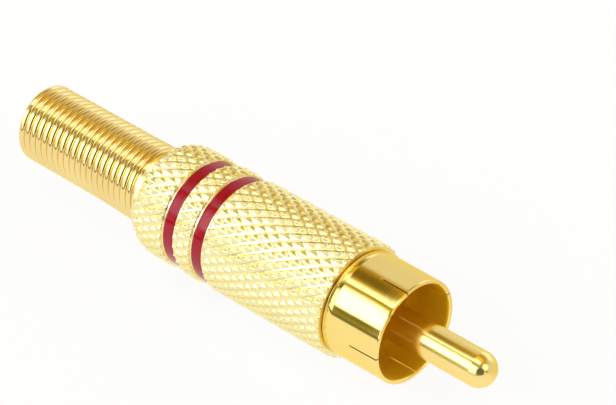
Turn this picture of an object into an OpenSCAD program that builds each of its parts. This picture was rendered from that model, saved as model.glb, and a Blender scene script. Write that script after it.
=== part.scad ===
// Phono (RCA) plug with a screwed, knurled shell and a coil-spring strain relief.
// Millimetres. X runs along the plug toward the tip of the pin and Z is up.
// The origin lies on the pin's axis, where the pin leaves the front insulator.
// Sizes are read from the outside in: the shell sets its bores, and the bores set what they hold.

/* [Centre pin] */
// Radius of the centre pin, half of 1/8 inch
pin_r = 1.5875; // [1.5:0.0125:1.65]
// Distance from the front insulator to the tip of the pin
pin_reach = 13.21; // [11:0.01:15]
// Radius of the pin's thin shank inside the insulators
shank_r = 1.2; // [1:0.05:1.3]
// Radius and thickness of the collar clenched over behind the insulators
rivet_r = 1.9; // [1.7:0.05:2.2]
rivet_t = 0.4; // [0.3:0.05:0.6]
// Outer radius and length of the solder cup
solder_cup_r = 1.35; // [1.25:0.05:1.6]
solder_cup_length = 4; // [3.6:0.1:5]
// Radius and depth of the hole in the solder cup
solder_hole_r = 0.9; // [0.6:0.05:1]
solder_hole_depth = 3.5; // [2:0.1:3.5]

/* [Ground cup] */
// Outer radius of the cup
cup_r = 4.78; // [4.6:0.01:5]
// Wall thickness of the cup
cup_wall = 0.42; // [0.35:0.01:0.5]
// How far the cup reaches back over the collar
cup_seat = 1.4; // [1:0.05:2]
// Where the rim of the cup lies
cup_rim_x = 4.63; // [4:0.01:6]
// Where the slits end
slit_root_x = 1.65; // [1:0.05:2.5]
// Width of a slit
slit_w = 0.13; // [0.1:0.01:0.4]
// Angle of each slit round the axis, from straight up toward +Y
slit_angles = [-93, -13, 67, 175];
// Chamfers: at the back of the cup, outside the rim, and inside the rim
back_chamfer = 0.06; // [0.04:0.01:0.12]
rim_chamfer = 0.12; // [0.05:0.01:0.2]
rim_bevel = 0.2; // [0.1:0.01:0.3]

/* [Threaded collar] */
// Depth of the thread
thread_depth = 0.38; // [0.2:0.01:0.45]
// Pitch of the thread
thread_pitch = 0.75; // [0.5:0.05:1]
// Number of turns of thread
thread_turns = 7; // [4:1:9]
// Length without thread in front of it, and behind it
thread_lead = 0.4; // [0.3:0.01:0.6]
thread_tail = 0.5; // [0.3:0.05:0.8]
// Thickness of the flange between the cup and the shell, and how far it stays below the cup's outside
flange_t = 0.1; // [0.08:0.01:0.3]
flange_drop = 0.08; // [0.05:0.01:0.3]
// Distance of the collar's front face behind the front of the insulator
collar_recess = 0.05; // [0:0.01:0.2]
// Chamfer of the collar's ends
collar_chamfer = 0.1; // [0.05:0.01:0.15]

/* [Shell] */
// Radius over the crests of the knurl
shell_r = 5.27; // [4.9:0.01:5.8]
// Thickness from those crests to the threaded bore
shell_wall = 0.77; // [0.65:0.01:0.9]
// Step from the threaded bore down to the plain bore
bore_step = 0.1; // [0.05:0.01:0.15]
// How far the rear lip stands in behind the spring's flare, and its thickness
lip_depth = 0.38; // [0.25:0.01:0.5]
lip_t = 1.2; // [1:0.05:1.4]
// Width of the plain ring on the rear face, round the mouth
lip_face = 0.456; // [0.35:0.001:0.6]
// Length from the shell's front face to the rounded rear shoulder, and the shoulder's radius
barrel_length = 20.85; // [18:0.05:24]
shoulder_r = 2.6; // [2.3:0.05:3]
// Length of the threaded bore behind the last turn of the collar's thread
thread_runout = 0.78; // [0.6:0.01:1.2]
// Length of the plain rear rim
rear_rim = 0.3; // [0.2:0.01:0.4]
// Chamfer of both ends
shell_chamfer = 0.1; // [0.05:0.01:0.12]

/* [Knurl] */
// Number of knurl diamonds round the shell
knurl_count = 34; // [24:2:40]
// Distance from the shell's front face to the first whole row of diamonds
knurl_lead = 0.756; // [0.4:0.001:1]
// Length of half a diamond along the shell
knurl_step = 0.8125; // [0.75:0.0025:0.9]
// Height of the diamonds
knurl_depth = 0.18; // [0.1:0.01:0.3]
// How far the rows of diamonds twist round the shell, in degrees for each mm
knurl_twist = -0.36; // [-0.5:0.01:0.5]

/* [Colour bands] */
// Distance from the start of the shoulder to the front edge of the front groove
band_offset = 7.2; // [6.5:0.01:8]
// Distance from one band to the same edge of the next
band_spacing = 3.4; // [3:0.01:4]
// Width of a groove, and its depth below the crests of the knurl
groove_w = 1.54; // [1.4:0.01:1.8]
groove_depth = 0.28; // [0.24:0.01:0.35]
// Width of the colour band in the middle of a groove, and the thickness of its lacquer
band_w = 1.1; // [0.9:0.01:1.2]
lacquer_t = 0.2; // [0.1:0.01:0.25]
// How far the lacquer stands out from the groove's plain rings
lacquer_rise = 0.01; // [0.01:0.01:0.05]

/* [Strain relief spring] */
// Radius of the wire
wire_r = 0.35; // [0.3:0.01:0.4]
// Gap between one turn and the next
wire_gap = 0.025; // [0.02:0.005:0.1]
// Length of the flared turns inside the shell, and of the neck behind them
flare_length = 1; // [0.8:0.05:1.3]
neck_length = 0.5; // [0.4:0.05:0.8]
// Length of the spring from its front end, measured along the wire's centre line
spring_length = 18.55; // [12:0.05:25]

/* [Inner parts] */
// Wall of the collar round the front insulator, measured under the thread
head_wall = 0.67; // [0.5:0.01:0.8]
// Length of the front insulator's head, and of the whole bush
head_length = 2; // [1.5:0.05:2.5]
bush_length = 4.5; // [3.5:0.05:5]
// Radius of the insulators' hubs, which pass through the collar and the lug
hub_r = 2.38; // [2:0.01:2.6]
// How far the rear washer stands out from its hub, and its thickness
washer_step = 0.42; // [0.3:0.01:0.6]
washer_t = 0.8; // [0.6:0.05:1]
// Gap between the two hubs
hub_gap = 0.1; // [0.05:0.01:0.3]
// Thickness of the insulating sleeve, and how far it reaches over the lug's ring
sleeve_t = 0.33; // [0.25:0.01:0.4]
sleeve_overlap = 0.2; // [0.1:0.05:0.4]
// Thickness of the ground lug
lug_t = 0.5; // [0.3:0.05:0.6]
// Width of the ground lug's tongue, and its length to the cable fingers
lug_w = 3; // [2:0.1:3.2]
lug_reach = 8; // [7:0.1:9]
// Length of the cable fingers and how far round the cable they go, in degrees
finger_length = 3.2; // [2.5:0.1:4]
finger_wrap = 220; // [180:5:260]
// Radius of the lug's wire hole and its distance behind the lug's ring
wire_hole_r = 0.6; // [0.4:0.05:0.8]
wire_hole_reach = 3.8; // [3:0.1:5]

/* [Clearances] */
// Between seated pieces
fit = 0.02; // [0.01:0.01:0.05]
// Between the collar's thread and the shell, and between the shell's front face and the flange
thread_gap = 0.05; // [0.03:0.01:0.1]
// Between the sleeve and the shell's bore
sleeve_gap = 0.12; // [0.05:0.01:0.2]
// Between the spring's flare and the shell's bore, and between the spring and the shell's mouth
flare_gap = 0.15; // [0.1:0.01:0.25]
mouth_gap = 0.28; // [0.2:0.01:0.4]
// Between the sleeve and the spring, end to end
spring_gap = 0.1; // [0.05:0.01:0.2]
// Between the lug and the sleeve, for its ring and for its fingers
ring_gap = 0.1; // [0.05:0.01:0.2]
finger_gap = 0.55; // [0.3:0.01:0.8]
// Between the lug's hole and the hub in it
lug_gap = 0.07; // [0.03:0.01:0.1]

/* [Hidden] */
$fn = 96;

// Radii, from the outside in
shell_root_r = shell_r - knurl_depth;
shell_thread_r = shell_r - shell_wall;
shell_bore_r = shell_thread_r - bore_step;
groove_r = shell_r - groove_depth;
lacquer_r = groove_r + lacquer_rise;
channel_r = lacquer_r - lacquer_t;
flare_r = shell_bore_r - flare_gap;
shell_mouth_r = flare_r - lip_depth;
coil_r = shell_mouth_r - mouth_gap;
sleeve_r = shell_bore_r - sleeve_gap;
sleeve_bore_r = sleeve_r - sleeve_t;
lug_ring_r = sleeve_bore_r - ring_gap;
finger_r = sleeve_bore_r - finger_gap;
thread_r = shell_thread_r - thread_gap;
thread_root_r = thread_r - thread_depth;
head_r = thread_root_r - head_wall;
cup_seat_r = cup_r - cup_wall - fit;
flange_r = cup_r - flange_drop;

// Places along the axis, from the front of the insulator backward
cup_back_x = -cup_seat;
flange_x = cup_back_x - flange_t;
shell_front_x = flange_x - thread_gap;
thread_start_x = shell_front_x - thread_lead;
thread_end_x = thread_start_x - thread_turns * thread_pitch;
collar_rear_x = thread_end_x - thread_tail;
lug_rear_x = collar_rear_x - lug_t;
rear_washer_x = lug_rear_x - washer_t;
rivet_x = rear_washer_x - rivet_t;
solder_mouth_x = rivet_x - solder_cup_length;
finger_front_x = lug_rear_x - lug_reach;
finger_rear_x = finger_front_x - finger_length;
sleeve_front_x = lug_rear_x + sleeve_overlap;
shoulder_turn = acos((shell_mouth_r + lip_face - shell_r + shoulder_r) / shoulder_r);
shoulder_x = shell_front_x - barrel_length;
shell_rear_x = shoulder_x - shoulder_r * sin(shoulder_turn) - rear_rim;
lip_x = shell_rear_x + lip_t;
neck_x = lip_x + wire_r;
flare_end_x = neck_x + neck_length;
coil_front_x = flare_end_x + flare_length;
coil_rear_x = coil_front_x - spring_length;
sleeve_rear_x = coil_front_x + wire_r + spring_gap;
front_band_x = shoulder_x + band_offset;
rear_band_x = front_band_x - band_spacing;
band_ring = (groove_w - band_w) / 2;

// A solid of revolution about X, from a list of [x, r] points
module turned(outline) {
    rotate([0, 90, 0])
        rotate_extrude()
            polygon([for (p = outline) [p[1], p[0]]]);
}

// A cylinder along X from one place to another
module bar(from_x, to_x, r) {
    translate([min(from_x, to_x), 0, 0])
        rotate([0, 90, 0])
            cylinder(h = abs(to_x - from_x), r = r);
}

// A place at a given x, radius and angle, the angle taken from straight up toward +Y
function around(x, r, angle) = [x, r * sin(angle), r * cos(angle)];

// Centre pin: one turned piece with a round nose, a thin shank, a clenched collar and a solder cup
module centre_pin() {
    edge = rivet_t / 2;
    color("gold")
    difference() {
        union() {
            bar(0, pin_reach - pin_r, pin_r);
            translate([pin_reach - pin_r, 0, 0])
                intersection() {
                    sphere(r = pin_r);
                    translate([0, -pin_r, -pin_r])
                        cube([pin_r, 2 * pin_r, 2 * pin_r]);
                }
            bar(rivet_x, 0, shank_r);
            turned([
                [rivet_x, 0], [rivet_x, rivet_r - edge], [rivet_x + edge, rivet_r],
                [rear_washer_x, rivet_r], [rear_washer_x, 0]
            ]);
            bar(solder_mouth_x, rivet_x, solder_cup_r);
        }
        bar(solder_mouth_x - 1, solder_mouth_x + solder_hole_depth, solder_hole_r);
    }
}

// Ground cup: a thin straight sleeve pressed over the collar, with sawn slits
module ground_cup() {
    inner_r = cup_r - cup_wall;
    color("gold")
    difference() {
        turned([
            [cup_back_x, inner_r], [cup_back_x, cup_r - back_chamfer], [cup_back_x + back_chamfer, cup_r],
            [cup_rim_x - rim_chamfer, cup_r], [cup_rim_x, cup_r - rim_chamfer],
            [cup_rim_x, inner_r + rim_chamfer], [cup_rim_x - rim_bevel, inner_r]
        ]);
        for (angle = slit_angles)
            rotate([-angle, 0, 0])
                translate([slit_root_x, -slit_w / 2, inner_r / 2])
                    cube([cup_rim_x, slit_w, cup_r]);
    }
}

// Threaded collar: the turned body that holds the cup, the insulators and the shell's thread
module threaded_collar() {
    crest = thread_pitch / 8;
    chamfer = collar_chamfer;
    bore_r = hub_r + fit;
    head_bore_r = head_r + fit;
    color("goldenrod")
    turned(concat(
        [
            [collar_rear_x, bore_r], [collar_rear_x, thread_root_r - chamfer],
            [collar_rear_x + chamfer, thread_root_r], [thread_end_x, thread_root_r]
        ],
        [for (i = [thread_turns - 1:-1:0])
            let (valley_x = thread_start_x - i * thread_pitch, crest_x = valley_x - thread_pitch / 2)
            for (p = [[crest_x - crest, thread_r], [crest_x + crest, thread_r], [valley_x, thread_root_r]])
                p],
        [
            [flange_x, thread_root_r], [flange_x, flange_r], [cup_back_x, flange_r], [cup_back_x, cup_seat_r],
            [-collar_recess - chamfer, cup_seat_r], [-collar_recess, cup_seat_r - chamfer],
            [-collar_recess, head_bore_r], [-head_length, head_bore_r], [-head_length, bore_r]
        ]
    ));
}

// Front insulator: a stepped bush that carries the pin
module front_insulator() {
    chamfer = collar_chamfer;
    color("peru")
    turned([
        [0, shank_r + fit], [0, head_r - chamfer], [-chamfer, head_r], [-head_length, head_r],
        [-head_length, hub_r], [-bush_length, hub_r], [-bush_length, shank_r + fit]
    ]);
}

// Rear insulator: a washer with a hub that goes through the lug into the collar
module rear_insulator() {
    front_x = -bush_length - hub_gap;
    color("peru")
    turned([
        [front_x, shank_r + fit], [front_x, hub_r], [lug_rear_x, hub_r],
        [lug_rear_x, hub_r + washer_step], [rear_washer_x, hub_r + washer_step], [rear_washer_x, shank_r + fit]
    ]);
}

// Ground lug: a stamped ring, a tongue with a wire hole, and two fingers that close on the cable
module ground_lug() {
    color("gold")
    difference() {
        union() {
            bar(lug_rear_x, collar_rear_x, lug_ring_r);
            translate([finger_rear_x, -lug_w / 2, -finger_r])
                cube([collar_rear_x - finger_rear_x, lug_w, lug_t]);
            translate([finger_rear_x, 0, 0])
                rotate([0, 90, 0])
                    rotate_extrude(angle = finger_wrap, start = -finger_wrap / 2)
                        translate([finger_r - lug_t, 0])
                            square([lug_t, finger_length]);
        }
        bar(lug_rear_x - 1, collar_rear_x + 1, hub_r + lug_gap);
        translate([lug_rear_x - wire_hole_reach, 0, -2 * finger_r])
            cylinder(h = 2 * finger_r, r = wire_hole_r);
    }
}

// Insulating sleeve: a plain tube over the terminals
module insulating_sleeve() {
    color("white")
    difference() {
        bar(sleeve_rear_x, sleeve_front_x, sleeve_r);
        bar(sleeve_rear_x - 1, sleeve_front_x + 1, sleeve_bore_r);
    }
}

// Strain relief spring: close turns of round wire, flared where the shell holds them
wire_sides = 6;
steps_per_turn = 20;
coil_pitch = 2 * wire_r + wire_gap;
coil_turns = spring_length / coil_pitch;
coil_steps = floor(coil_turns * steps_per_turn);
function coil_x(step) = coil_front_x - spring_length * step / coil_steps;
function ease(t) = t < 0 ? 0 : t > 1 ? 1 : t * t * (3 - 2 * t);
function coil_centre_r(x) = coil_r - wire_r + (flare_r - coil_r) * ease((x - neck_x) / neck_length);

module strain_relief_spring() {
    points = [for (step = [0:coil_steps])
        let (x = coil_x(step), r = coil_centre_r(x), angle = 360 * step * coil_turns / coil_steps)
        for (side = [0:wire_sides - 1])
            let (turn = 360 * side / wire_sides)
            around(x + wire_r * sin(turn), r + wire_r * cos(turn), angle)];
    walls = [for (step = [0:coil_steps - 1], side = [0:wire_sides - 1])
        let (a = step * wire_sides + side, b = step * wire_sides + (side + 1) % wire_sides)
        for (half = [0, 1])
            half == 0 ? [a, b, b + wire_sides] : [a, b + wire_sides, a + wire_sides]];
    front = [for (side = [1:wire_sides - 2]) [0, side + 1, side]];
    last = coil_steps * wire_sides;
    back = [for (side = [1:wire_sides - 2]) [last, last + side, last + side + 1]];
    color("gold")
    polyhedron(points = points, faces = concat(walls, front, back));
}

// Knurled blank of the shell. Each row of points lies at one distance along the outline, from the front face.
// Where a point's column and row add up to an even number it is the top of a diamond, and where they add up
// to an odd number two grooves cross. The first and last rows lie between whole rows, and are cut to fit.
columns = 2 * knurl_count;
outline_length = barrel_length + shoulder_r * shoulder_turn * PI / 180;
first_row = (shell_chamfer - knurl_lead) / knurl_step;
last_row = (outline_length - knurl_lead) / knurl_step;
whole_rows = [for (row = [ceil(first_row + 0.1):floor(last_row - 0.1)]) row];
knurl_rows = concat([first_row], whole_rows, [last_row]);
function bend(s) = (s - barrel_length) / shoulder_r * 180 / PI;
function along(s) = s < barrel_length
    ? [shell_front_x - s, shell_r]
    : [shoulder_x - shoulder_r * sin(bend(s)), shell_r - shoulder_r + shoulder_r * cos(bend(s))];
function inward(s) = s < barrel_length ? [0, -1] : [sin(bend(s)), -cos(bend(s))];
function wrap(n) = n - 2 * floor(n / 2);
function away_from_top(n) = wrap(n) < 1 ? wrap(n) : 2 - wrap(n);
function column_angle(column, x) = 360 * (column - 0.5) / columns + knurl_twist * x;
function knurl_row(row) = [for (column = [0:columns - 1])
    let (s = knurl_lead + row * knurl_step, p = along(s) + knurl_depth * away_from_top(row + column) * inward(s))
    around(p[0], p[1], column_angle(column, p[0]))];
function plain_row(x, r) = [for (column = [0:columns - 1]) around(x, r, column_angle(column, x))];

module knurled_blank() {
    chamfer = shell_chamfer;
    rows = concat(
        [plain_row(shell_front_x, shell_root_r)],
        [for (row = knurl_rows) knurl_row(row)],
        [plain_row(shell_rear_x + chamfer, shell_mouth_r + 2 * chamfer), plain_row(shell_rear_x, shell_mouth_r + chamfer)]
    );
    // The whole row before each strip of faces, which tells how its squares are split
    before = concat([first_row - 1], knurl_rows, [last_row + 1]);
    count = len(rows);
    points = [for (row = rows) for (p = row) p];
    front = len(points);
    back = front + 1;
    walls = [for (strip = [0:count - 2], column = [0:columns - 1])
        let (
            a = strip * columns + column, b = strip * columns + (column + 1) % columns, c = a + columns, d = b + columns,
            top_at_a = wrap(floor(before[strip] + 0.001) + column) < 0.5
        )
        for (half = [0, 1])
            top_at_a
                ? (half == 0 ? [a, b, c] : [b, d, c])
                : (half == 0 ? [a, b, d] : [a, d, c])];
    front_fan = [for (column = [0:columns - 1]) [front, (column + 1) % columns, column]];
    base = (count - 1) * columns;
    back_fan = [for (column = [0:columns - 1]) [back, base + column, base + (column + 1) % columns]];
    polyhedron(
        points = concat(points, [[shell_front_x, 0, 0], [shell_rear_x, 0, 0]]),
        faces = concat(walls, front_fan, back_fan)
    );
}

// A ring-shaped groove round the shell, with a deeper channel for the lacquer in the middle
module groove(front_x) {
    rear_x = front_x - groove_w;
    turned([
        [rear_x, shell_r + 1], [rear_x, groove_r], [rear_x + band_ring, groove_r], [rear_x + band_ring, channel_r],
        [front_x - band_ring, channel_r], [front_x - band_ring, groove_r], [front_x, groove_r], [front_x, shell_r + 1]
    ]);
}

// Shell: the knurled blank, bored for the thread, the sleeve and the spring
module shell() {
    color("gold")
    difference() {
        knurled_blank();
        bar(thread_end_x - thread_runout, 0, shell_thread_r);
        bar(lip_x, shell_front_x - 1, shell_bore_r);
        bar(shell_rear_x - 1, shoulder_x, shell_mouth_r);
        groove(front_band_x);
        groove(rear_band_x);
    }
}

// Colour band: a ring of lacquer that fills the channel of a groove
module colour_band(groove_x) {
    front_x = groove_x - band_ring;
    color("crimson")
    difference() {
        bar(front_x - band_w, front_x, lacquer_r);
        bar(front_x - band_w - 1, front_x + 1, channel_r);
    }
}

module colour_band_front() {
    colour_band(front_band_x);
}

module colour_band_rear() {
    colour_band(rear_band_x);
}

centre_pin();
ground_cup();
threaded_collar();
front_insulator();
rear_insulator();
ground_lug();
insulating_sleeve();
strain_relief_spring();
shell();
colour_band_front();
colour_band_rear();
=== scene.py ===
"""Phono plug: camera, studio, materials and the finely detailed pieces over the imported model."""

import math

import bmesh
import bpy
from mathutils import Matrix, Quaternion, Vector


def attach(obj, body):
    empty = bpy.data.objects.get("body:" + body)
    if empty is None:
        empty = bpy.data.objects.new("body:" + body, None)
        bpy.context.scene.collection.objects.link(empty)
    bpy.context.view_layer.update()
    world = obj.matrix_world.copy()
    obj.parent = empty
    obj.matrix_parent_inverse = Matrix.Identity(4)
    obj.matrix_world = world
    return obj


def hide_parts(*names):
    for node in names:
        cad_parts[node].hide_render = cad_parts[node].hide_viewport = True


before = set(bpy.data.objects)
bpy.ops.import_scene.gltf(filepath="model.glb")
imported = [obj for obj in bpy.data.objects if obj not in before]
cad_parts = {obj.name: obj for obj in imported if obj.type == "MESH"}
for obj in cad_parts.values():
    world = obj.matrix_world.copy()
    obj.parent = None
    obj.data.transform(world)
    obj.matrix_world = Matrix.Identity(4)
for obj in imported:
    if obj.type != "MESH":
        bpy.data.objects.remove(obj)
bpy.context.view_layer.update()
scene = bpy.context.scene
MM = 0.001


# The photograph's camera. The focal length is in photo pixels, and the place is in mm.

PHOTO_WIDTH = 616.0
FOCAL_LENGTH = 3420.0
SENSOR_WIDTH = 36.0
CAMERA_PLACE = (151.775, -170.204, 171.548)
CAMERA_FORWARD = (-0.55862, 0.59671, -0.57609)
CAMERA_ROLL = -math.radians(0.34)
# The nearest and the farthest thing that the camera shows, in metres
NEAREST = 0.005
FARTHEST = 20.0


def make_camera():
    """The photograph's camera."""
    forward = Vector(CAMERA_FORWARD).normalized()
    level = forward.cross(Vector((0, 0, 1))).normalized()
    right = Quaternion(forward, CAMERA_ROLL) @ level
    up = right.cross(forward)
    data = bpy.data.cameras.new("camera")
    data.sensor_width = SENSOR_WIDTH
    data.lens = SENSOR_WIDTH * FOCAL_LENGTH / PHOTO_WIDTH
    data.clip_start = NEAREST
    data.clip_end = FARTHEST
    camera = bpy.data.objects.new("camera", data)
    scene.collection.objects.link(camera)
    turn = Matrix((right, up, -forward)).transposed().to_4x4()
    camera.matrix_world = Matrix.Translation(Vector(CAMERA_PLACE) * MM) @ turn
    scene.camera = camera


# Node helpers

def new_material(name):
    """A material with one principled shader. Returns the material, its tree and the shader."""
    material = bpy.data.materials.new(name)
    material.use_nodes = True
    tree = material.node_tree
    tree.nodes.clear()
    output = tree.nodes.new("ShaderNodeOutputMaterial")
    shader = tree.nodes.new("ShaderNodeBsdfPrincipled")
    tree.links.new(shader.outputs["BSDF"], output.inputs["Surface"])
    return material, tree, shader


def node(tree, kind, values=None, **settings):
    """A new node with its settings, then the default values of its inputs."""
    made = tree.nodes.new(kind)
    for key, value in settings.items():
        setattr(made, key, value)
    for key, value in (values or {}).items():
        made.inputs[key].default_value = value
    return made


def noise(tree, scale, detail=2.0, stretch=(1, 1, 1)):
    """Noise in object space. Scale counts features in each metre, and stretch multiplies each axis."""
    place = node(tree, "ShaderNodeTexCoord")
    mapping = node(tree, "ShaderNodeMapping", {"Scale": stretch})
    texture = node(tree, "ShaderNodeTexNoise", {"Scale": scale, "Detail": detail, "Roughness": 0.5})
    tree.links.new(place.outputs["Object"], mapping.inputs["Vector"])
    tree.links.new(mapping.outputs["Vector"], texture.inputs["Vector"])
    return texture.outputs["Fac"]


def remap(tree, value, low, high, from_low=0.3, from_high=0.7):
    """Runs from low to high while the value runs between the other two, and stays there past them."""
    mapped = node(tree, "ShaderNodeMapRange", {
        "From Min": from_low, "From Max": from_high, "To Min": low, "To Max": high})
    tree.links.new(value, mapped.inputs["Value"])
    return mapped.outputs["Result"]


def by_value(tree, value, stops):
    """A colour that follows a value from 0 to 1. Each stop is (place, colour)."""
    ramp = node(tree, "ShaderNodeValToRGB")
    elements = ramp.color_ramp.elements
    while len(elements) > 1:
        elements.remove(elements[-1])
    for i, (place, colour) in enumerate(stops):
        element = elements[0] if i == 0 else elements.new(place)
        element.position = place
        element.color = (*colour, 1)
    tree.links.new(value, ramp.inputs["Fac"])
    return ramp.outputs["Color"]


def mixed(tree, share, first, second):
    """A colour between two others. Each of them is an output or a constant colour."""
    mix = node(tree, "ShaderNodeMix", data_type="RGBA")
    tree.links.new(share, mix.inputs["Factor"])
    for key, colour in (("A", first), ("B", second)):
        if isinstance(colour, bpy.types.NodeSocket):
            tree.links.new(colour, mix.inputs[key])
        else:
            mix.inputs[key].default_value = (*colour, 1)
    return mix.outputs["Result"]


def set_bump(tree, shader, heights):
    """Chains bumps on a shader's normal. Each is (height output, distance in metres, strength)."""
    last = None
    for height, distance, strength in heights:
        made = node(tree, "ShaderNodeBump", {"Strength": strength, "Distance": distance})
        tree.links.new(height, made.inputs["Height"])
        if last:
            tree.links.new(last.outputs["Normal"], made.inputs["Normal"])
        last = made
    tree.links.new(last.outputs["Normal"], shader.inputs["Normal"])


# Gold. The scales count features in each metre, and the depths are in metres.

GOLD_EDGE = (1.0, 0.93, 0.62, 1)
CLOUD_SHARES = (0.35, 0.65)
CLOUD_SCALE = 260.0
SMEAR_SCALE = 900.0
SMEAR_STRETCH = (0.35, 1, 1)
GRAIN_SCALE = 9000.0
GRAIN_DEPTH = 0.000004
LATHE_SCALES = (26000, 300, 300)
LATHE_DEPTH = 0.000006
# The cup's bore is rougher than its outside, and its deep amber colour is painted shade inside the cup.
# Radius and edge are in mm.
CUP_BORE_ROUGH_AND_SHADE = {"radius": 4.37, "edge": 0.03, "rougher": 0.6, "colour": (1.0, 0.73, 0.03)}


def clouded(tree, scale, detail, pale, deep):
    """Two close colours in soft clouds."""
    low, high = CLOUD_SHARES
    return by_value(tree, noise(tree, scale, detail), [(low, deep), (high, pale)])


def axis_distance(tree):
    """The distance of a point from the X axis, in metres."""
    place = node(tree, "ShaderNodeTexCoord")
    across = node(tree, "ShaderNodeVectorMath", {1: (0, 1, 1)}, operation="MULTIPLY")
    length = node(tree, "ShaderNodeVectorMath", operation="LENGTH")
    tree.links.new(place.outputs["Object"], across.inputs[0])
    tree.links.new(across.outputs["Vector"], length.inputs[0])
    return length.outputs["Value"]


def gold(name, pale, deep, rough, lathe=0.0, grain=0.3, bore=None):
    """Gold plate: two close golds in clouds, uneven gloss, lathe lines round X and a fine grain. With a
    bore, its inside is rougher and painted a deep amber shade.
    """
    material, tree, shader = new_material(name)
    shader.inputs["Metallic"].default_value = 1.0
    shader.inputs["Specular Tint"].default_value = GOLD_EDGE
    colour = clouded(tree, CLOUD_SCALE, 3.0, pale, deep)
    roughness = remap(tree, noise(tree, SMEAR_SCALE, 4.0, SMEAR_STRETCH), *rough)
    if bore:
        radius = axis_distance(tree)
        edge = (bore["radius"] * MM, (bore["radius"] + bore["edge"]) * MM)
        total = node(tree, "ShaderNodeMath", operation="ADD")
        tree.links.new(roughness, total.inputs[0])
        tree.links.new(remap(tree, radius, bore["rougher"], 0.0, *edge), total.inputs[1])
        roughness = total.outputs["Value"]
        # Inside the bore's radius the colour turns to deep amber: painted shade.
        colour = mixed(tree, remap(tree, radius, 0.0, 1.0, *edge), bore["colour"], colour)
    tree.links.new(colour, shader.inputs["Base Color"])
    tree.links.new(roughness, shader.inputs["Roughness"])
    heights = [(noise(tree, GRAIN_SCALE), GRAIN_DEPTH, grain)]
    if lathe:
        heights.append((noise(tree, 1.0, stretch=LATHE_SCALES), LATHE_DEPTH, lathe))
    set_bump(tree, shader, heights)
    return material


# Materials other than gold

LACQUER_PALE = (0.36, 0.001, 0.018)
LACQUER_DEEP = (0.32, 0.001, 0.015)
LACQUER_ROUGH = (0.06, 0.12)
LACQUER_SPECULAR = 0.33
LACQUER_CLOUDS = 420.0
LACQUER_SMEARS = 1500.0
PLASTIC_CLOUDS = 500.0
PLASTIC_SMEARS = 2200.0
PLASTIC_GLOW = 0.15
PLASTIC_GLOW_SCALE = 0.5
# How far light goes inside the plastics, in metres for red, green and blue
PLASTIC_REACH = (0.001, 0.0008, 0.0006)
# Waves and grain: (features in each metre, depth in metres, strength)
LACQUER_BUMPS = [(700.0, 0.00002, 0.5), (6000.0, 0.000003, 0.4)]
PLASTIC_BUMPS = [(7000.0, 0.000008, 0.5)]


def lacquer():
    """Glossy red lacquer with a soft waviness under a fine grain."""
    material, tree, shader = new_material("red_lacquer")
    colour = clouded(tree, LACQUER_CLOUDS, 3.0, LACQUER_PALE, LACQUER_DEEP)
    tree.links.new(colour, shader.inputs["Base Color"])
    roughness = remap(tree, noise(tree, LACQUER_SMEARS, 3.0), *LACQUER_ROUGH)
    tree.links.new(roughness, shader.inputs["Roughness"])
    shader.inputs["Specular IOR Level"].default_value = LACQUER_SPECULAR
    set_bump(tree, shader, [(noise(tree, scale), *rest) for scale, *rest in LACQUER_BUMPS])
    return material


def plastic(name, pale, deep, rough):
    """Moulded plastic that lets a little light in."""
    material, tree, shader = new_material(name)
    colour = clouded(tree, PLASTIC_CLOUDS, 4.0, pale, deep)
    tree.links.new(colour, shader.inputs["Base Color"])
    roughness = remap(tree, noise(tree, PLASTIC_SMEARS, 3.0), *rough)
    tree.links.new(roughness, shader.inputs["Roughness"])
    shader.inputs["Subsurface Weight"].default_value = PLASTIC_GLOW
    shader.inputs["Subsurface Radius"].default_value = PLASTIC_REACH
    shader.inputs["Subsurface Scale"].default_value = PLASTIC_GLOW_SCALE
    set_bump(tree, shader, [(noise(tree, scale), *rest) for scale, *rest in PLASTIC_BUMPS])
    return material


# Geometry helpers. Lengths are in mm, and angles run from straight up toward +Y.

def around(x, r, angle):
    """A point at a radius and an angle round the X axis, in metres."""
    return (x * MM, r * math.sin(angle) * MM, r * math.cos(angle) * MM)


def smoothed(mesh, sharp_deg):
    """Shades a mesh smooth, apart from its edges sharper than an angle."""
    mesh.polygons.foreach_set("use_smooth", [True] * len(mesh.polygons))
    mesh.set_sharp_from_angle(angle=math.radians(sharp_deg))


def make_object(name, points, faces, body, slot, material, replaced, sharp_deg):
    """A piece from points and faces, which rides on a body and replaces one CAD node."""
    mesh = bpy.data.meshes.new(name)
    mesh.from_pydata(points, [], faces)
    mesh.validate()
    mesh.materials.append(material)
    made = bpy.data.objects.new(name, mesh)
    scene.collection.objects.link(made)
    smoothed(mesh, sharp_deg)
    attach(made, body)
    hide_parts(replaced)
    return made


def arc(centre_x, centre_r, radius, start_deg, end_deg, steps):
    """Points of a circular arc in an [x, r] outline, both ends included."""
    points = []
    for i in range(steps + 1):
        angle = math.radians(start_deg + (end_deg - start_deg) * i / steps)
        points.append((centre_x + radius * math.cos(angle), centre_r + radius * math.sin(angle)))
    return points


def turned(outline, columns=96, closed=True):
    """Points and faces of an [x, r] outline turned round X. A point with r 0 becomes one point."""
    points, rings, faces = [], [], []
    for x, r in outline:
        start = len(points)
        if r < 1e-6:
            points.append(around(x, 0, 0))
            rings.append([start] * columns)
        else:
            points += [around(x, r, 2 * math.pi * i / columns) for i in range(columns)]
            rings.append(list(range(start, start + columns)))
    following = rings[1:] + rings[:1] if closed else rings[1:]
    for a, b in zip(rings, following):
        for i in range(columns):
            k = (i + 1) % columns
            corners = list(dict.fromkeys((a[i], a[k], b[k], b[i])))
            if len(corners) > 2:
                faces.append(corners)
    return points, faces


def joined(*parts):
    """Points and faces of several parts as one."""
    points, faces = [], []
    for part_points, part_faces in parts:
        base = len(points)
        points += part_points
        faces += [[base + i for i in face] for face in part_faces]
    return points, faces


# The shell. Its knurl follows the same rows and columns of diamonds as the CAD shell.

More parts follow.
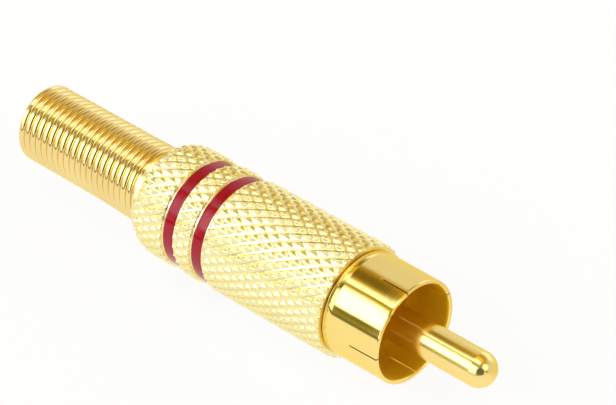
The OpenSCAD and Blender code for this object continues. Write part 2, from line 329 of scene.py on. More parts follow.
KNURL_COUNT = 34
KNURL_STEP = 0.8125
KNURL_LEAD = 0.756
KNURL_TWIST = math.radians(-0.36)
SHELL_R = 5.27
SHELL_FRONT = -1.55
SHELL_CHAMFER = 0.1
SHOULDER_X = -22.4
SHOULDER_R = 2.6
SHOULDER_LENGTH = 2.289
SHOULDER_STEPS = 8
SHELL_COLUMNS = 120
SHELL_REAR = -24.70
MOUTH_R = 3.87
MOUTH_END = SHOULDER_X - 1.1
THREAD_R = 4.5
THREAD_END = -7.98
THREAD_PITCH = 0.75
THREAD_RELIEF = 0.26
THREAD_FADE = 0.6 * THREAD_PITCH
TOOTH_SLOPE = 1.25
TOOTH_FOOT = 0.1
SHELL_THREAD = 0.24
COLLAR_THREAD = 0.385
BORE_R = 4.4
GROOVE_W = 1.54
FRONT_GROOVE = -15.2
REAR_GROOVE = -18.6
FRONT_RING_W = 0.15
REAR_RING_W = 0.22
GROOVE_R = 4.99
CHANNEL_R = 4.8
LACQUER_R = 5.0
LACQUER_SINK = 0.012
LACQUER_EDGE = 0.14
LACQUER_STEPS = 16
LACQUER_COLUMNS = 160
UNDER_SKIN_R = 5.03
EDGE_CHAMFER = 0.04
# How far the rings below the skin reach under it
TUCK = 0.02


class Ropes:
    """One of the knurl's two families of parallel ropes, which lean over to one side."""

    def __init__(self, depth, valley, flat, rounding, lean, shift, rise, fall):
        self.depth = depth
        self.valley = valley
        self.flat = flat
        self.rounding = rounding
        self.lean = lean / 2
        self.shift = shift
        before = 0.5 + self.lean
        behind = 0.5 - self.lean
        foot = valley * before - 0.5
        top = (1 - flat) * before - 0.5
        edge = 0.5 - (1 - flat) * behind
        end = 0.5 - valley * behind
        self.spots = [-0.5] + [foot + (top - foot) * k / rise for k in range(rise + 1)]
        self.spots += [edge + (end - edge) * k / fall for k in range(fall + 1)]

    def place(self, i):
        """The i-th line of the mesh, counted in ropes. Each rope has one line for each of its spots."""
        return i // len(self.spots) + self.spots[i % len(self.spots)] + self.shift

    def drop(self, place):
        """How far the skin lies below the ropes' tops."""
        t = place - self.shift
        q = t - round(t)
        away = min((q + 0.5) / (0.5 + self.lean), (0.5 - q) / (0.5 - self.lean))
        level = min(1.0, max(0.0, (away - self.valley) / (1 - self.valley - self.flat)))
        rounding = self.rounding[0] if q < self.lean else self.rounding[1]
        rounded = 0.5 - 0.5 * math.cos(math.pi * level)
        return self.depth * (1 - level - rounding * (rounded - level))


# Depth is in mm. Rise and fall count lines of the mesh, and the rest are shares of a rope's width.
CROSS_ROPES = Ropes(
    depth=0.183, valley=0.017, flat=0.198, rounding=(0.327, 0.474), lean=-0.108, shift=0.17,
    rise=3, fall=4)
MAIN_ROPES = Ropes(
    depth=0.198, valley=0.167, flat=0.174, rounding=(0.892, 0.835), lean=0.48, shift=-0.006,
    rise=5, fall=2)


def outline_at(s):
    """The place and outward direction at a distance s along the shell's outline, from its front face."""
    straight = SHELL_FRONT - SHOULDER_X
    if s < straight:
        return SHELL_FRONT - s, SHELL_R, 0.0, 1.0
    bend = (s - straight) / SHOULDER_R
    x = SHOULDER_X - SHOULDER_R * math.sin(bend)
    r = SHELL_R - SHOULDER_R + SHOULDER_R * math.cos(bend)
    return x, r, -math.sin(bend), math.cos(bend)


def knurl_net(s_start, s_end):
    """Points and faces of the knurled skin, with a row to spare past both distances along the outline."""
    per = len(MAIN_ROPES.spots)
    columns = 2 * KNURL_COUNT * per
    low = int(math.floor(((s_start - KNURL_LEAD) / KNURL_STEP - 1) * per))
    high = int(math.ceil(((s_end - KNURL_LEAD) / KNURL_STEP + 1) * per))
    index, points, faces = {}, [], []

    def corner(total, across):
        across %= columns
        key = (total, across)
        if key not in index:
            u = CROSS_ROPES.place((total - across) // 2)
            v = MAIN_ROPES.place((total + across) // 2)
            x, r, nx, nr = outline_at(KNURL_LEAD + (u + v) * KNURL_STEP)
            angle = math.pi * (v - u - 0.5) / KNURL_COUNT + KNURL_TWIST * x
            drop = max(CROSS_ROPES.drop(u), MAIN_ROPES.drop(v))
            index[key] = len(points)
            points.append(around(x - nx * drop, r - nr * drop, angle))
        return index[key]

    for total in range(low, high):
        for across in range(columns):
            if (total + across) % 2 == 0:
                faces.append([
                    corner(total, across), corner(total + 1, across + 1),
                    corner(total + 2, across), corner(total + 1, across - 1)])
    return points, faces


def cut_square(bm, x, keep_rear):
    """Cuts a mesh square across X and returns the edges of the cut."""
    bmesh.ops.bisect_plane(
        bm, geom=bm.verts[:] + bm.edges[:] + bm.faces[:], dist=1e-9,
        plane_co=(x * MM, 0, 0), plane_no=(1, 0, 0), clear_outer=keep_rear, clear_inner=not keep_rear)
    return [e for e in bm.edges if e.is_boundary and all(abs(p.co.x - x * MM) < 1e-8 for p in e.verts)]


def grow_ring(bm, rim, ring_x, ring_r):
    """Grows faces from an edge loop to a new ring. Without a radius it is a lowered copy of the loop."""
    grown = bmesh.ops.extrude_edge_only(bm, edges=rim)["geom"]
    fresh = {g for g in grown if isinstance(g, bmesh.types.BMVert)}
    for p in fresh:
        length = math.hypot(p.co.y, p.co.z)
        target = length - EDGE_CHAMFER * MM if ring_r is None else ring_r * MM
        p.co.x = ring_x * MM
        p.co.y *= target / length
        p.co.z *= target / length
    return [g for g in grown if isinstance(g, bmesh.types.BMEdge) and set(g.verts) <= fresh]


def knurl_sheet(s_start, s_end, rims):
    """The knurled skin between two distances along the outline. Each rim says where the skin is cut
    square and which rings of skin go on from there: (x, keep what lies behind it, [(x, radius)])."""
    points, faces = knurl_net(s_start, s_end)
    mesh = bpy.data.meshes.new("skin")
    mesh.from_pydata(points, [], faces)
    bm = bmesh.new()
    bm.from_mesh(mesh)
    for x, keep_rear, rings in rims:
        rim = cut_square(bm, x, keep_rear)
        for ring_x, ring_r in rings:
            rim = grow_ring(bm, rim, ring_x, ring_r)
    bmesh.ops.recalc_face_normals(bm, faces=bm.faces)
    bm.to_mesh(mesh)
    bm.free()
    result = [tuple(p.co) for p in mesh.vertices], [list(p.vertices) for p in mesh.polygons]
    bpy.data.meshes.remove(mesh)
    return result


def thread_surface(x_start, x_end, root_r, depth, columns=72, per_turn=10):
    """A single-start right-hand thread's flanks as an open tube, fading out at both ends."""
    steps = int(abs(x_end - x_start) / THREAD_PITCH * per_turn)
    points, faces = [], []
    for k in range(steps + 1):
        x = x_start + (x_end - x_start) * k / steps
        fade = min(1.0, abs(x - x_start) / THREAD_FADE, abs(x - x_end) / THREAD_FADE)
        for i in range(columns):
            angle = 2 * math.pi * i / columns
            t = (x / THREAD_PITCH - angle / (2 * math.pi)) % 1.0
            tooth = min(1.0, max(0.0, (1 - abs(2 * t - 1)) * TOOTH_SLOPE - TOOTH_FOOT))
            points.append(around(x, root_r + depth * tooth * fade, angle))
    for k in range(steps):
        for i in range(columns):
            n = (i + 1) % columns
            a, b = k * columns, (k + 1) * columns
            faces.append([a + i, a + n, b + n, b + i])
    return points, faces


def shell_body():
    """The plain body under the knurled skin, with the grooves, the rear lip and the bores."""
    under = UNDER_SKIN_R
    inset = SHELL_R - under
    outline = [(SHELL_FRONT, THREAD_R + 0.12), (SHELL_FRONT, under + 0.02), (SHELL_FRONT - 0.04, under)]
    for groove in (FRONT_GROOVE, REAR_GROOVE):
        wall = groove - GROOVE_W
        outline += [
            (groove + TUCK, under), (groove + TUCK, GROOVE_R),
            (groove - FRONT_RING_W, GROOVE_R), (groove - FRONT_RING_W, CHANNEL_R),
            (wall + REAR_RING_W, CHANNEL_R), (wall + REAR_RING_W, GROOVE_R),
            (wall - TUCK, GROOVE_R), (wall - TUCK, under),
        ]
    for i in range(SHOULDER_STEPS + 1):
        along = (SHOULDER_LENGTH + TUCK) * i / SHOULDER_STEPS
        x, r, nx, nr = outline_at(SHELL_FRONT - SHOULDER_X + along)
        outline.append((x - nx * inset, r - nr * inset))
    outline += [
        (SHELL_REAR + 0.16, MOUTH_R + 0.42), (SHELL_REAR + 0.04, MOUTH_R + 0.26),
        (SHELL_REAR, MOUTH_R + 0.16), (SHELL_REAR, MOUTH_R + 0.05), (SHELL_REAR + 0.05, MOUTH_R),
        (MOUTH_END, MOUTH_R), (MOUTH_END, BORE_R),
        (THREAD_END, BORE_R), (THREAD_END, THREAD_R + THREAD_RELIEF),
        (SHELL_FRONT - 0.4, THREAD_R + THREAD_RELIEF), (SHELL_FRONT - 0.1, THREAD_R + 0.2),
    ]
    return turned(outline, SHELL_COLUMNS)


def shell_skins():
    """The three stretches of knurl: before, between and behind the two grooves."""
    foot = GROOVE_R - TUCK

    def front_of(groove):
        return groove + EDGE_CHAMFER, False, [(groove, None), (groove, foot)]

    def rear_of(groove):
        wall = groove - GROOVE_W
        return wall - EDGE_CHAMFER, True, [(wall, None), (wall, foot)]

    front_rings = [(SHELL_FRONT, UNDER_SKIN_R + 0.05), (SHELL_FRONT + 0.0005, UNDER_SKIN_R)]
    front_end = (SHELL_FRONT - SHELL_CHAMFER, True, front_rings)
    to_front_groove = SHELL_FRONT - FRONT_GROOVE
    to_rear_groove = SHELL_FRONT - REAR_GROOVE
    to_end = SHELL_FRONT - SHOULDER_X + SHOULDER_LENGTH - KNURL_STEP
    return [
        knurl_sheet(0.0, to_front_groove, [front_end, front_of(FRONT_GROOVE)]),
        knurl_sheet(
            to_front_groove + GROOVE_W, to_rear_groove, [rear_of(FRONT_GROOVE), front_of(REAR_GROOVE)]),
        knurl_sheet(to_rear_groove + GROOVE_W, to_end, [rear_of(REAR_GROOVE)]),
    ]


def make_shell(material):
    """The shell as one piece: plain body, knurled skins and the thread in its bore."""
    thread = thread_surface(
        SHELL_FRONT - 0.15, THREAD_END + 0.1, THREAD_R + 0.01, SHELL_THREAD, columns=60, per_turn=8)
    parts = joined(shell_body(), *shell_skins(), thread)
    make_object("shell_knurled", *parts, "shell", "gold_knurled", material, "shell", sharp_deg=30.0)


def make_band(name, groove, replaced, material):
    """Lacquer in the channel of a groove, level with the plain rings and a little lower at its edges."""
    front = groove - FRONT_RING_W - 0.002
    rear = groove - GROOVE_W + REAR_RING_W + 0.002
    top = []
    for i in range(LACQUER_STEPS + 1):
        x = front + (rear - front) * i / LACQUER_STEPS
        edge = max(0.0, 1 - min(front - x, x - rear) / LACQUER_EDGE)
        top.append((x, LACQUER_R - LACQUER_SINK * edge ** 2))
    outline = [(front, CHANNEL_R + 0.003)] + top + [(rear, CHANNEL_R + 0.003)]
    parts = turned(outline, LACQUER_COLUMNS)
    make_object(name, *parts, "shell", "red_lacquer", material, replaced, sharp_deg=40.0)


# The spring

COIL_R = 3.60
FLARE_R = 4.25
WIRE_R = 0.35
COIL_PITCH = 0.725
COIL_FRONT = -21.65
COIL_REAR = -40.2
FLARE_END = COIL_FRONT - 1
NECK_START = FLARE_END - 0.5
COIL_STEPS = 72
WIRE_SIDES = 16
# Past the shell the spring is a little wider and leans to the upper side: (x, radius, lean in mm)
COIL_SHAPE = [
    (-41.0, COIL_R, 0.25), (-36.0, COIL_R, 0.25), (-33.0, COIL_R, 0.24), (-30.0, 3.61, 0.22),
    (-28.0, 3.65, 0.18), (-26.5, 3.70, 0.16), (-24.7, 3.68, 0.12), (-23.4, 3.62, 0.08),
    (-22.2, COIL_R, 0.0),
]
LEAN_ANGLE = math.radians(44)


def coil_shape(x):
    """The spring's outer radius and its lean, read off the list in straight steps between its places."""
    for (x0, r0, lean0), (x1, r1, lean1) in zip(COIL_SHAPE, COIL_SHAPE[1:]):
        if x <= x1:
            t = min(1.0, max(0.0, (x - x0) / (x1 - x0)))
            return r0 + (r1 - r0) * t, lean0 + (lean1 - lean0) * t
    return COIL_SHAPE[-1][1:]


def coil_centre_r(x):
    """The radius of the wire's centre line, with the flare inside the shell."""
    t = min(1.0, max(0.0, (x - NECK_START) / (FLARE_END - NECK_START)))
    r = coil_shape(x)[0]
    return r - WIRE_R + (FLARE_R - r) * t * t * (3 - 2 * t)


def make_spring(material):
    """Round wire swept along the coil, with both cut ends closed."""
    turns = (COIL_FRONT - COIL_REAR) / COIL_PITCH
    steps = int(turns * COIL_STEPS)
    sides = WIRE_SIDES
    points, faces = [], []
    for step in range(steps + 1):
        t = step / steps
        x = COIL_FRONT - (COIL_FRONT - COIL_REAR) * t
        r = coil_centre_r(x)
        lean = coil_shape(x)[1]
        shift_y = lean * math.sin(LEAN_ANGLE) * MM
        shift_z = lean * math.cos(LEAN_ANGLE) * MM
        angle = 2 * math.pi * turns * t
        for side in range(sides):
            turn = 2 * math.pi * side / sides
            px, py, pz = around(x + WIRE_R * math.sin(turn), r + WIRE_R * math.cos(turn), angle)
            points.append((px, py + shift_y, pz + shift_z))
    for step in range(steps):
        for side in range(sides):
            a = step * sides + side
            b = step * sides + (side + 1) % sides
            faces.append([a, b, b + sides, a + sides])
    faces.append(list(range(sides - 1, -1, -1)))
    faces.append(list(range(steps * sides, steps * sides + sides)))
    make_object(
        "spring_coil", points, faces, "spring", "gold_wire", material, "strain_relief_spring",
        sharp_deg=50.0)


# The ground cup

CUP_R = 4.78
CUP_WALL = 0.42
CUP_SEAT = CUP_R + 0.015
CUP_BACK = -1.4
CUP_RIM = 4.63
BEVEL_START = CUP_RIM - 0.2
SLIT_ROOT = 1.65
SLIT_W = 0.12
SLITS = (-93.0, -13.0, 67.0, 175.0)
# How far each petal's rim leans inward, and how much more one of its corners does than the other
PETAL_LEAN = (0.05, 0.02, 0.06, 0.03)
PETAL_SKEW = 0.03
PETAL_ROWS = 12
PETAL_COLUMNS = 30


def cup_rows():
    """The cup's lengthwise rows: (x, outer radius, inner radius)."""
    inner = CUP_R - CUP_WALL
    rows = [
        (CUP_BACK, CUP_R - 0.05, inner + 0.03), (CUP_BACK + 0.02, CUP_R - 0.012, inner),
        (CUP_BACK + 0.06, CUP_SEAT, inner), (-0.6, CUP_SEAT, inner),
        (0.4, CUP_R + 0.01, inner), (1.0, CUP_R + 0.005, inner),
    ]
    for i in range(PETAL_ROWS + 1):
        rows.append((SLIT_ROOT + (BEVEL_START - SLIT_ROOT) * i / PETAL_ROWS, CUP_R, inner))
    return rows + [
        (CUP_RIM - 0.13, CUP_R, inner + 0.03), (CUP_RIM - 0.07, CUP_R - 0.014, inner + 0.07),
        (CUP_RIM - 0.025, CUP_R - 0.05, inner + 0.115), (CUP_RIM, CUP_R - 0.11, inner + 0.15),
    ]


def cup_columns():
    """The angles of the cup's columns round X, and each one's petal and share of the way across it."""
    half = SLIT_W / 2 / CUP_R
    slits = sorted(math.radians(a) % (2 * math.pi) for a in SLITS)
    angles, petals = [], []
    for k, slit in enumerate(slits):
        following = slits[k + 1] if k + 1 < len(slits) else slits[0] + 2 * math.pi
        start, end = slit + half, following - half
        for i in range(PETAL_COLUMNS + 1):
            angles.append(start + (end - start) * i / PETAL_COLUMNS)
            petals.append((k, i / PETAL_COLUMNS))
    return angles, petals


def make_cup(material):
    """The slit cup: an outer and an inner wall, joined at the back, the rim and the slits."""
    rows = cup_rows()
    angles, petals = cup_columns()
    columns = len(angles)
    points = []
    for x, r_out, r_in in rows:
        t = max(0.0, (x - SLIT_ROOT) / (CUP_RIM - SLIT_ROOT))
        for angle, (k, share) in zip(angles, petals):
            lean = PETAL_LEAN[k] * t * t * (0.8 + 0.2 * math.cos(2 * math.pi * share))
            lean += PETAL_SKEW * t * t * (share - 0.5)
            points.append(around(x, r_out - lean, angle))
            points.append(around(x, r_in - lean, angle))
    root_row = next(i for i, row in enumerate(rows) if row[0] >= SLIT_ROOT - 1e-9)
    last = len(rows) - 1
    slit_columns = [c for c in range(columns) if petals[c][1] == 1.0]
    faces = []

    def add(*corners):
        """A face from corners: (row, column, 0 outside or 1 inside)."""
        faces.append([(row * columns + c % columns) * 2 + side for row, c, side in corners])

    for row in range(last):
        for c in range(columns):
            if c in slit_columns and row >= root_row:
                continue
            add((row, c, 0), (row, c + 1, 0), (row + 1, c + 1, 0), (row + 1, c, 0))
            add((row, c + 1, 1), (row, c, 1), (row + 1, c, 1), (row + 1, c + 1, 1))
    for c in range(columns):
        add((0, c + 1, 0), (0, c, 0), (0, c, 1), (0, c + 1, 1))
        if c not in slit_columns:
            add((last, c, 0), (last, c + 1, 0), (last, c + 1, 1), (last, c, 1))
    for c in slit_columns:
        for row in range(root_row, last):
            add((row, c, 0), (row + 1, c, 0), (row + 1, c, 1), (row, c, 1))
            add((row + 1, c + 1, 0), (row, c + 1, 0), (row, c + 1, 1), (row + 1, c + 1, 1))
        add((root_row, c, 0), (root_row, c + 1, 0), (root_row, c + 1, 1), (root_row, c, 1))
    make_object(
        "cup_slit", points, faces, "plug_core", "gold_polished", material, "ground_cup", sharp_deg=38.0)


# Pin, collar, insulators, sleeve and lug

PIN_R = 1.5875
PIN_REACH = 13.21
PIN_COLUMNS = 72
PIN_HOLE_COLUMNS = 48
DOME_STEPS = 20
COLLAR_THREAD_FRONT = -1.9
COLLAR_THREAD_REAR = -7.3
COLLAR_THREAD_R = 4.06
# Outlines as (x, radius), turned round X
PIN_TAIL = [
    (-13.4, 0.93), (-13.4, 1.3), (-13.35, 1.35), (-9.4, 1.35), (-9.4, 1.7), (-9.36, 1.79), (-9.25, 1.88),
    (-9.0, 1.9), (-9.0, 1.2), (-0.02, 1.2), (0.0, PIN_R - 0.04), (0.04, PIN_R),
]
PIN_HOLE = [(-13.35, 0.9), (-9.95, 0.9), (-9.9, 0.85), (-9.6, 0)]
PIN_HOLE_RIM = [(-13.4, 0.93), (-13.35, 0.9)]
COLLAR = [
    (-7.7, 2.45), (-7.7, 3.86), (-7.66, 3.9), (-7.5, 4.06), (-7.2, 4.06), (-2.05, 4.05), (-1.53, 4.05),
    (-1.5, 4.08), (-1.5, 4.67), (-1.48, 4.7), (-1.42, 4.7), (-1.4, 4.69), (-1.4, 4.335), (-0.15, 4.335),
    (-0.08, 4.31), (-0.05, 4.25), (-0.05, 3.46), (-0.09, 3.42), (-2.0, 3.42), (-2.0, 2.4),
]
FRONT_INSULATOR = [
    (0.0, 1.62), (-0.05, 1.6), (-0.05, 1.9), (0.0, 1.95), (0.0, 3.28), (-0.04, 3.36), (-0.12, 3.4),
    (-2.0, 3.4), (-2.0, 2.38), (-4.44, 2.38), (-4.5, 2.3), (-4.5, 1.22), (-0.1, 1.22),
]
REAR_INSULATOR = [
    (-4.6, 1.22), (-4.6, 2.34), (-4.64, 2.38), (-8.2, 2.38), (-8.2, 2.76), (-8.26, 2.8), (-8.92, 2.8),
    (-9.0, 2.72), (-9.0, 1.22),
]
SLEEVE_REAR = -21.2
SLEEVE_FRONT = -8.0
SLEEVE_R = 4.28
SLEEVE_BORE = 3.95
SLEEVE_STEPS = 8
SLEEVE_CHAMFER = 0.04
BORE_CHAMFER = 0.03
LUG_BEVEL = 0.06


def make_pin(material):
    """The pin with its domed tip, and the hollow solder cup at its rear end."""
    outline = PIN_TAIL + [(2.0 + 2.4 * i, PIN_R) for i in range(4)]
    outline += arc(PIN_REACH - PIN_R, 0, PIN_R, 90, 0, DOME_STEPS)[:-1] + [(PIN_REACH, 0)]
    parts = joined(
        turned(outline[::-1], PIN_COLUMNS, closed=False),
        turned(PIN_HOLE, PIN_HOLE_COLUMNS, closed=False),
        turned(PIN_HOLE_RIM, PIN_HOLE_COLUMNS, closed=False))
    make_object(
        "pin_turned", *parts, "plug_core", "gold_polished", material, "centre_pin", sharp_deg=30.0)


def make_collar(material):
    """The turned collar with its thread."""
    thread = thread_surface(
        COLLAR_THREAD_FRONT, COLLAR_THREAD_REAR, COLLAR_THREAD_R, COLLAR_THREAD)
    parts = joined(turned(COLLAR), thread)
    make_object(
        "collar_threaded", *parts, "plug_core", "gold_turned", material, "threaded_collar", sharp_deg=28.0)


def make_insulators(material):
    """The two bushes that hold the pin in the collar."""
    for name, outline, replaced in (
            ("insulator_front", FRONT_INSULATOR, "front_insulator"),
            ("insulator_rear", REAR_INSULATOR, "rear_insulator")):
        make_object(
            name, *turned(outline), "plug_core", "insulator", material, replaced, sharp_deg=30.0)


def make_sleeve(material):
    """The plain tube between the terminals and the shell."""
    rear = SLEEVE_REAR
    front = SLEEVE_FRONT
    lip = SLEEVE_R - SLEEVE_CHAMFER
    mouth = SLEEVE_BORE + BORE_CHAMFER
    outline = [(rear, mouth), (rear, lip), (rear + SLEEVE_CHAMFER, SLEEVE_R)]
    for i in range(1, SLEEVE_STEPS):
        outline.append((rear + (front - rear) * i / SLEEVE_STEPS, SLEEVE_R))
    outline += [(front - SLEEVE_CHAMFER, SLEEVE_R), (front, lip), (front, mouth)]
    outline += [(front - BORE_CHAMFER, SLEEVE_BORE), (rear + BORE_CHAMFER, SLEEVE_BORE)]
    make_object(
        "sleeve_tube", *turned(outline), "sleeve", "sleeve", material, "insulating_sleeve",
        sharp_deg=30.0)


def make_lug(material):
    """The ground lug: its CAD mesh with the sharp edges softened."""
    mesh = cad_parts["ground_lug"].data.copy()
    mesh.materials.clear()
    mesh.materials.append(material)
    lug = bpy.data.objects.new("lug_stamped", mesh)
    scene.collection.objects.link(lug)
    bm = bmesh.new()
    bm.from_mesh(mesh)
    bmesh.ops.remove_doubles(bm, verts=bm.verts, dist=2e-6)
    bmesh.ops.dissolve_limit(bm, angle_limit=math.radians(1.0), verts=bm.verts, edges=bm.edges)
    bm.to_mesh(mesh)
    bm.free()
    soften = lug.modifiers.new("soft_edges", "BEVEL")
    soften.width = LUG_BEVEL * MM
    soften.segments = 2
    soften.limit_method = "ANGLE"
    soften.angle_limit = math.radians(40)
    smoothed(mesh, 30.0)
    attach(lug, "plug_core")
    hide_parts("ground_lug")


# The floor. It is white for the camera, and what the gold mirrors of it is a painted reflection that
# changes across the plug.

FLOOR_REACH = 3
FLOOR_COLOUR = (0.95, 0.965, 1.0, 1)
FLOOR_GLOW = 0.9
# The stops are (y in mm, colour), between the two ends in metres. Far in front of the plug it is painted
# dark and behind the plug painted warm, as painted reflections in the gold.
MIRRORED_FROM = -0.1
MIRRORED_TO = 0.02
FLOOR_MIRRORED = [
    (-90, (0.10, 0.10, 0.02)), (-74, (0.2, 0.19, 0.05)), (-58, (1, 1, 1)), (3, (1, 1, 1)),
    (10, (0.86, 0.80, 0.52)),
]


def make_floor():
    """A wide floor that the shell lies on. Only the camera and mirroring surfaces see it glow, and what the
    mirrors see carries painted reflections: dark far in front, warm behind.
    """
    a = FLOOR_REACH
    z = -SHELL_R * MM
    corners = [(-a, -a, z), (a, -a, z), (a, a, z), (-a, a, z)]
    mesh = bpy.data.meshes.new("floor")
    mesh.from_pydata(corners, [], [(0, 1, 2, 3)])
    floor = bpy.data.objects.new("floor", mesh)
    scene.collection.objects.link(floor)
    material = bpy.data.materials.new("floor_white")
    material.use_nodes = True
    tree = material.node_tree
    tree.nodes.clear()
    output = node(tree, "ShaderNodeOutputMaterial")
    path = node(tree, "ShaderNodeLightPath")
    place = node(tree, "ShaderNodeTexCoord")
    axes = node(tree, "ShaderNodeSeparateXYZ")
    tree.links.new(place.outputs["Object"], axes.inputs["Vector"])
    across = remap(tree, axes.outputs["Y"], 0.0, 1.0, MIRRORED_FROM, MIRRORED_TO)
    span = MIRRORED_TO - MIRRORED_FROM
    stops = [((y * MM - MIRRORED_FROM) / span, colour) for y, colour in FLOOR_MIRRORED]
    glow = node(tree, "ShaderNodeEmission", {"Strength": 1.0})
    # Glossy rays see the painted reflection stops across Y, and the camera sees plain white.
    colour = mixed(tree, path.outputs["Is Camera Ray"], by_value(tree, across, stops), (1, 1, 1))
    tree.links.new(colour, glow.inputs["Color"])
    seen = node(tree, "ShaderNodeMath", operation="MAXIMUM")
    tree.links.new(path.outputs["Is Camera Ray"], seen.inputs[0])
    tree.links.new(path.outputs["Is Glossy Ray"], seen.inputs[1])
    share = node(tree, "ShaderNodeMath", {1: FLOOR_GLOW}, operation="MULTIPLY")
    tree.links.new(seen.outputs["Value"], share.inputs[0])
    diffuse = node(tree, "ShaderNodeBsdfDiffuse", {"Color": FLOOR_COLOUR})
    mix = node(tree, "ShaderNodeMixShader")
    tree.links.new(share.outputs["Value"], mix.inputs["Fac"])
    tree.links.new(diffuse.outputs["BSDF"], mix.inputs[1])
    tree.links.new(glow.outputs["Emission"], mix.inputs[2])
    tree.links.new(mix.outputs["Shader"], output.inputs["Surface"])
    mesh.materials.append(material)


# The studio round the plug's axis. Each stop is (angle from straight up toward +Y, brightness, tint).
# A softbox stands on the camera's left from -75 to -34, with a strip above it and a dark gap overhead.

WHITE = (1.0, 1.0, 1.0)
AMBER = (1.0, 0.70, 0.10)
OLIVE = (1.0, 0.95, 0.18)
STUDIO_SIDE = [
    (-90, 0.32, OLIVE), (-84, 0.25, OLIVE), (-78.5, 0.15, OLIVE), (-75.5, 0.6, WHITE), (-72, 3.0, WHITE),
    (-66, 3.6, WHITE), (-44, 3.6, WHITE), (-38, 3.0, WHITE), (-33, 1.3, WHITE), (-29, 0.6, OLIVE),
    (-26, 0.3, AMBER), (-24.5, 0.4, OLIVE), (-22, 1.9, WHITE), (-18, 1.9, WHITE), (-14, 1.2, WHITE),
    (-10, 0.55, OLIVE), (-6, 0.33, AMBER), (-2, 0.2, AMBER), (10, 0.2, AMBER), (16, 0.36, AMBER),
    (22, 0.46, AMBER), (28, 0.72, WHITE), (34, 0.79, WHITE), (60, 0.79, WHITE), (90, 0.84, WHITE),
]
# The sides of the spring's wires and of the knurl's ropes mirror the room nearer its middle.
STUDIO_MID = [
    (-90, 1.45, WHITE), (-77, 1.45, WHITE), (-72, 2.2, WHITE), (-66, 2.8, WHITE), (-47, 2.8, WHITE),
    (-42, 1.0, WHITE), (-38, 0.38, OLIVE), (-29, 0.38, OLIVE), (-24, 0.6, OLIVE), (-19, 2.2, WHITE),
    (-10, 2.2, WHITE), (-4, 1.1, WHITE), (1, 0.92, AMBER), (18, 0.92, AMBER), (25, 0.45, AMBER),
    (36, 0.53, AMBER), (46, 0.7, WHITE), (54, 1.3, WHITE), (66, 1.3, WHITE), (80, 0.95, WHITE),
    (90, 0.95, WHITE),
]
# The spring's ridges mirror the room a little further back than the shell and the cup do.
STUDIO_SPRING = [
    (-90, 1.6, WHITE), (-75, 1.6, WHITE), (-66, 1.9, WHITE), (-50, 1.9, WHITE), (-44, 1.1, WHITE),
    (-38, 0.2, OLIVE), (-28, 0.25, OLIVE), (-20, 0.9, WHITE), (-12, 1.7, WHITE), (-4, 1.2, WHITE),
    (2, 0.75, AMBER), (18, 0.75, AMBER), (27, 0.25, AMBER), (42, 0.35, AMBER), (54, 0.7, WHITE),
    (62, 1.2, WHITE), (74, 1.3, WHITE), (86, 0.95, WHITE), (90, 0.95, WHITE),
]
# Behind the plug's rear end
STUDIO_BACK = [
    (-90, 0.457, WHITE), (-76, 0.457, WHITE), (-70, 2.96, WHITE), (-44, 2.96, WHITE), (-34, 0.457, WHITE),
    (-20, 0.75, WHITE), (20, 0.75, WHITE), (45, 0.457, WHITE), (90, 0.457, WHITE),
]
# Toward the plug's tip the softbox has ended.
STUDIO_FRONT = [
    (-90, 1.0, WHITE), (-45, 0.9, WHITE), (-35, 0.45, WHITE), (-20, 0.3, AMBER), (-10, 0.5, AMBER),
    (20, 0.55, AMBER), (45, 0.75, WHITE), (90, 0.8, WHITE),
]
STUDIO_TOP = 4.0
# Where along the plug one stretch of the studio gives way to the next: (stops, the direction's X where the
# next begins, and its X where it is whole)
STUDIO_ALONG = [
    (STUDIO_SPRING, -1.0, -0.92), (STUDIO_SIDE, -0.60, -0.57), (STUDIO_MID, -0.48, -0.42),
    (STUDIO_FRONT, 0.30, 0.40),
]
# Round patches of the room: (direction, cosine at the edge, cosine where it is whole, brightness)
FRONT_LAMP = ((0.8, 0.0, 0.6), 0.93, 0.97, 1.6)
CAMERA_PATCH = ((0.702, -0.641, 0.311), 0.883, 0.928, 0.14)


def studio_colours(tree, turn, levels):
    """The room's colour round X for one list of stops, as a share of the brightest level."""
    stops = [((a + 180) / 360, [v * c / STUDIO_TOP for c in tint]) for a, v, tint in levels]
    return by_value(tree, turn, stops)


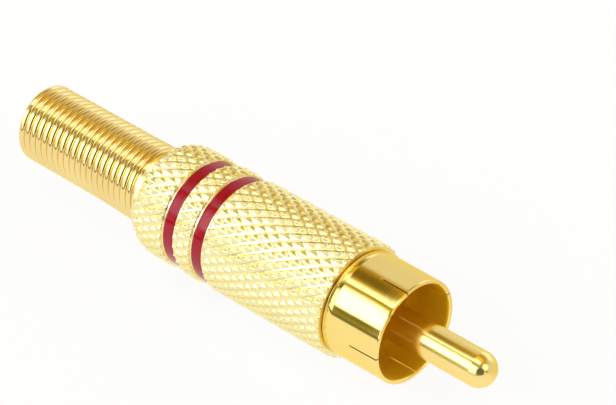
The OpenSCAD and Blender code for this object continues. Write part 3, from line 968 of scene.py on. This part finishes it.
def make_world():
    """The studio, which the camera sees as plain white."""
    world = bpy.data.worlds.new("studio")
    scene.world = world
    world.use_nodes = True
    tree = world.node_tree
    tree.nodes.clear()
    output = node(tree, "ShaderNodeOutputWorld")
    place = node(tree, "ShaderNodeTexCoord")
    axes = node(tree, "ShaderNodeSeparateXYZ")
    angle = node(tree, "ShaderNodeMath", operation="ARCTAN2")
    tree.links.new(place.outputs["Generated"], axes.inputs["Vector"])
    tree.links.new(axes.outputs["Y"], angle.inputs[0])
    tree.links.new(axes.outputs["Z"], angle.inputs[1])
    turn = remap(tree, angle.outputs["Value"], 0.0, 1.0, -math.pi, math.pi)
    colour = studio_colours(tree, turn, STUDIO_BACK)
    for levels, begins, whole in STUDIO_ALONG:
        share = remap(tree, axes.outputs["X"], 0.0, 1.0, begins, whole)
        colour = mixed(tree, share, colour, studio_colours(tree, turn, levels))
    for direction, edge, whole, level in (FRONT_LAMP, CAMERA_PATCH):
        nearness = node(tree, "ShaderNodeVectorMath", {1: direction}, operation="DOT_PRODUCT")
        tree.links.new(place.outputs["Generated"], nearness.inputs[0])
        spot = remap(tree, nearness.outputs["Value"], 0.0, 1.0, edge, whole)
        colour = mixed(tree, spot, colour, [level / STUDIO_TOP] * 3)
    room = node(tree, "ShaderNodeBackground", {"Strength": STUDIO_TOP})
    tree.links.new(colour, room.inputs["Color"])
    white = node(tree, "ShaderNodeBackground", {"Color": (1, 1, 1, 1), "Strength": 1.0})
    path = node(tree, "ShaderNodeLightPath")
    mix = node(tree, "ShaderNodeMixShader")
    tree.links.new(path.outputs["Is Camera Ray"], mix.inputs["Fac"])
    tree.links.new(room.outputs["Background"], mix.inputs[1])
    tree.links.new(white.outputs["Background"], mix.inputs[2])
    tree.links.new(mix.outputs["Shader"], output.inputs["Surface"])


# Everything together

make_camera()
make_world()
make_floor()

polished = gold(
    "gold_polished", pale=(1.0, 0.755, 0.255), deep=(0.985, 0.735, 0.235), rough=(0.05, 0.10),
    lathe=0.25, grain=0.15, bore=CUP_BORE_ROUGH_AND_SHADE)
lathed = gold(
    "gold_turned", pale=(0.98, 0.77, 0.33), deep=(0.93, 0.70, 0.26), rough=(0.14, 0.24), lathe=0.8)
pin_gold = gold(
    "gold_pin", pale=(1.0, 0.77, 0.28), deep=(0.98, 0.74, 0.25), rough=(0.15, 0.20), lathe=0.25, grain=0.15)
knurled = gold(
    "gold_knurled", pale=(0.968, 0.875, 0.49), deep=(0.955, 0.85, 0.45), rough=(0.23, 0.31), grain=0.4)
wire = gold("gold_wire", pale=(0.94, 0.745, 0.335), deep=(0.90, 0.70, 0.295), rough=(0.08, 0.16))
red = lacquer()
brown = plastic("insulator_plastic", pale=(0.44, 0.24, 0.02), deep=(0.38, 0.205, 0.015), rough=(0.35, 0.5))
white = plastic("sleeve_plastic", pale=(0.90, 0.90, 0.88), deep=(0.85, 0.85, 0.83), rough=(0.3, 0.45))

make_shell(knurled)
make_band("lacquer_front", FRONT_GROOVE, "colour_band_front", red)
make_band("lacquer_rear", REAR_GROOVE, "colour_band_rear", red)
make_spring(wire)
make_cup(polished)
make_pin(pin_gold)
make_collar(lathed)
make_insulators(brown)
make_sleeve(white)
make_lug(lathed)

scene.view_settings.view_transform = "Standard"
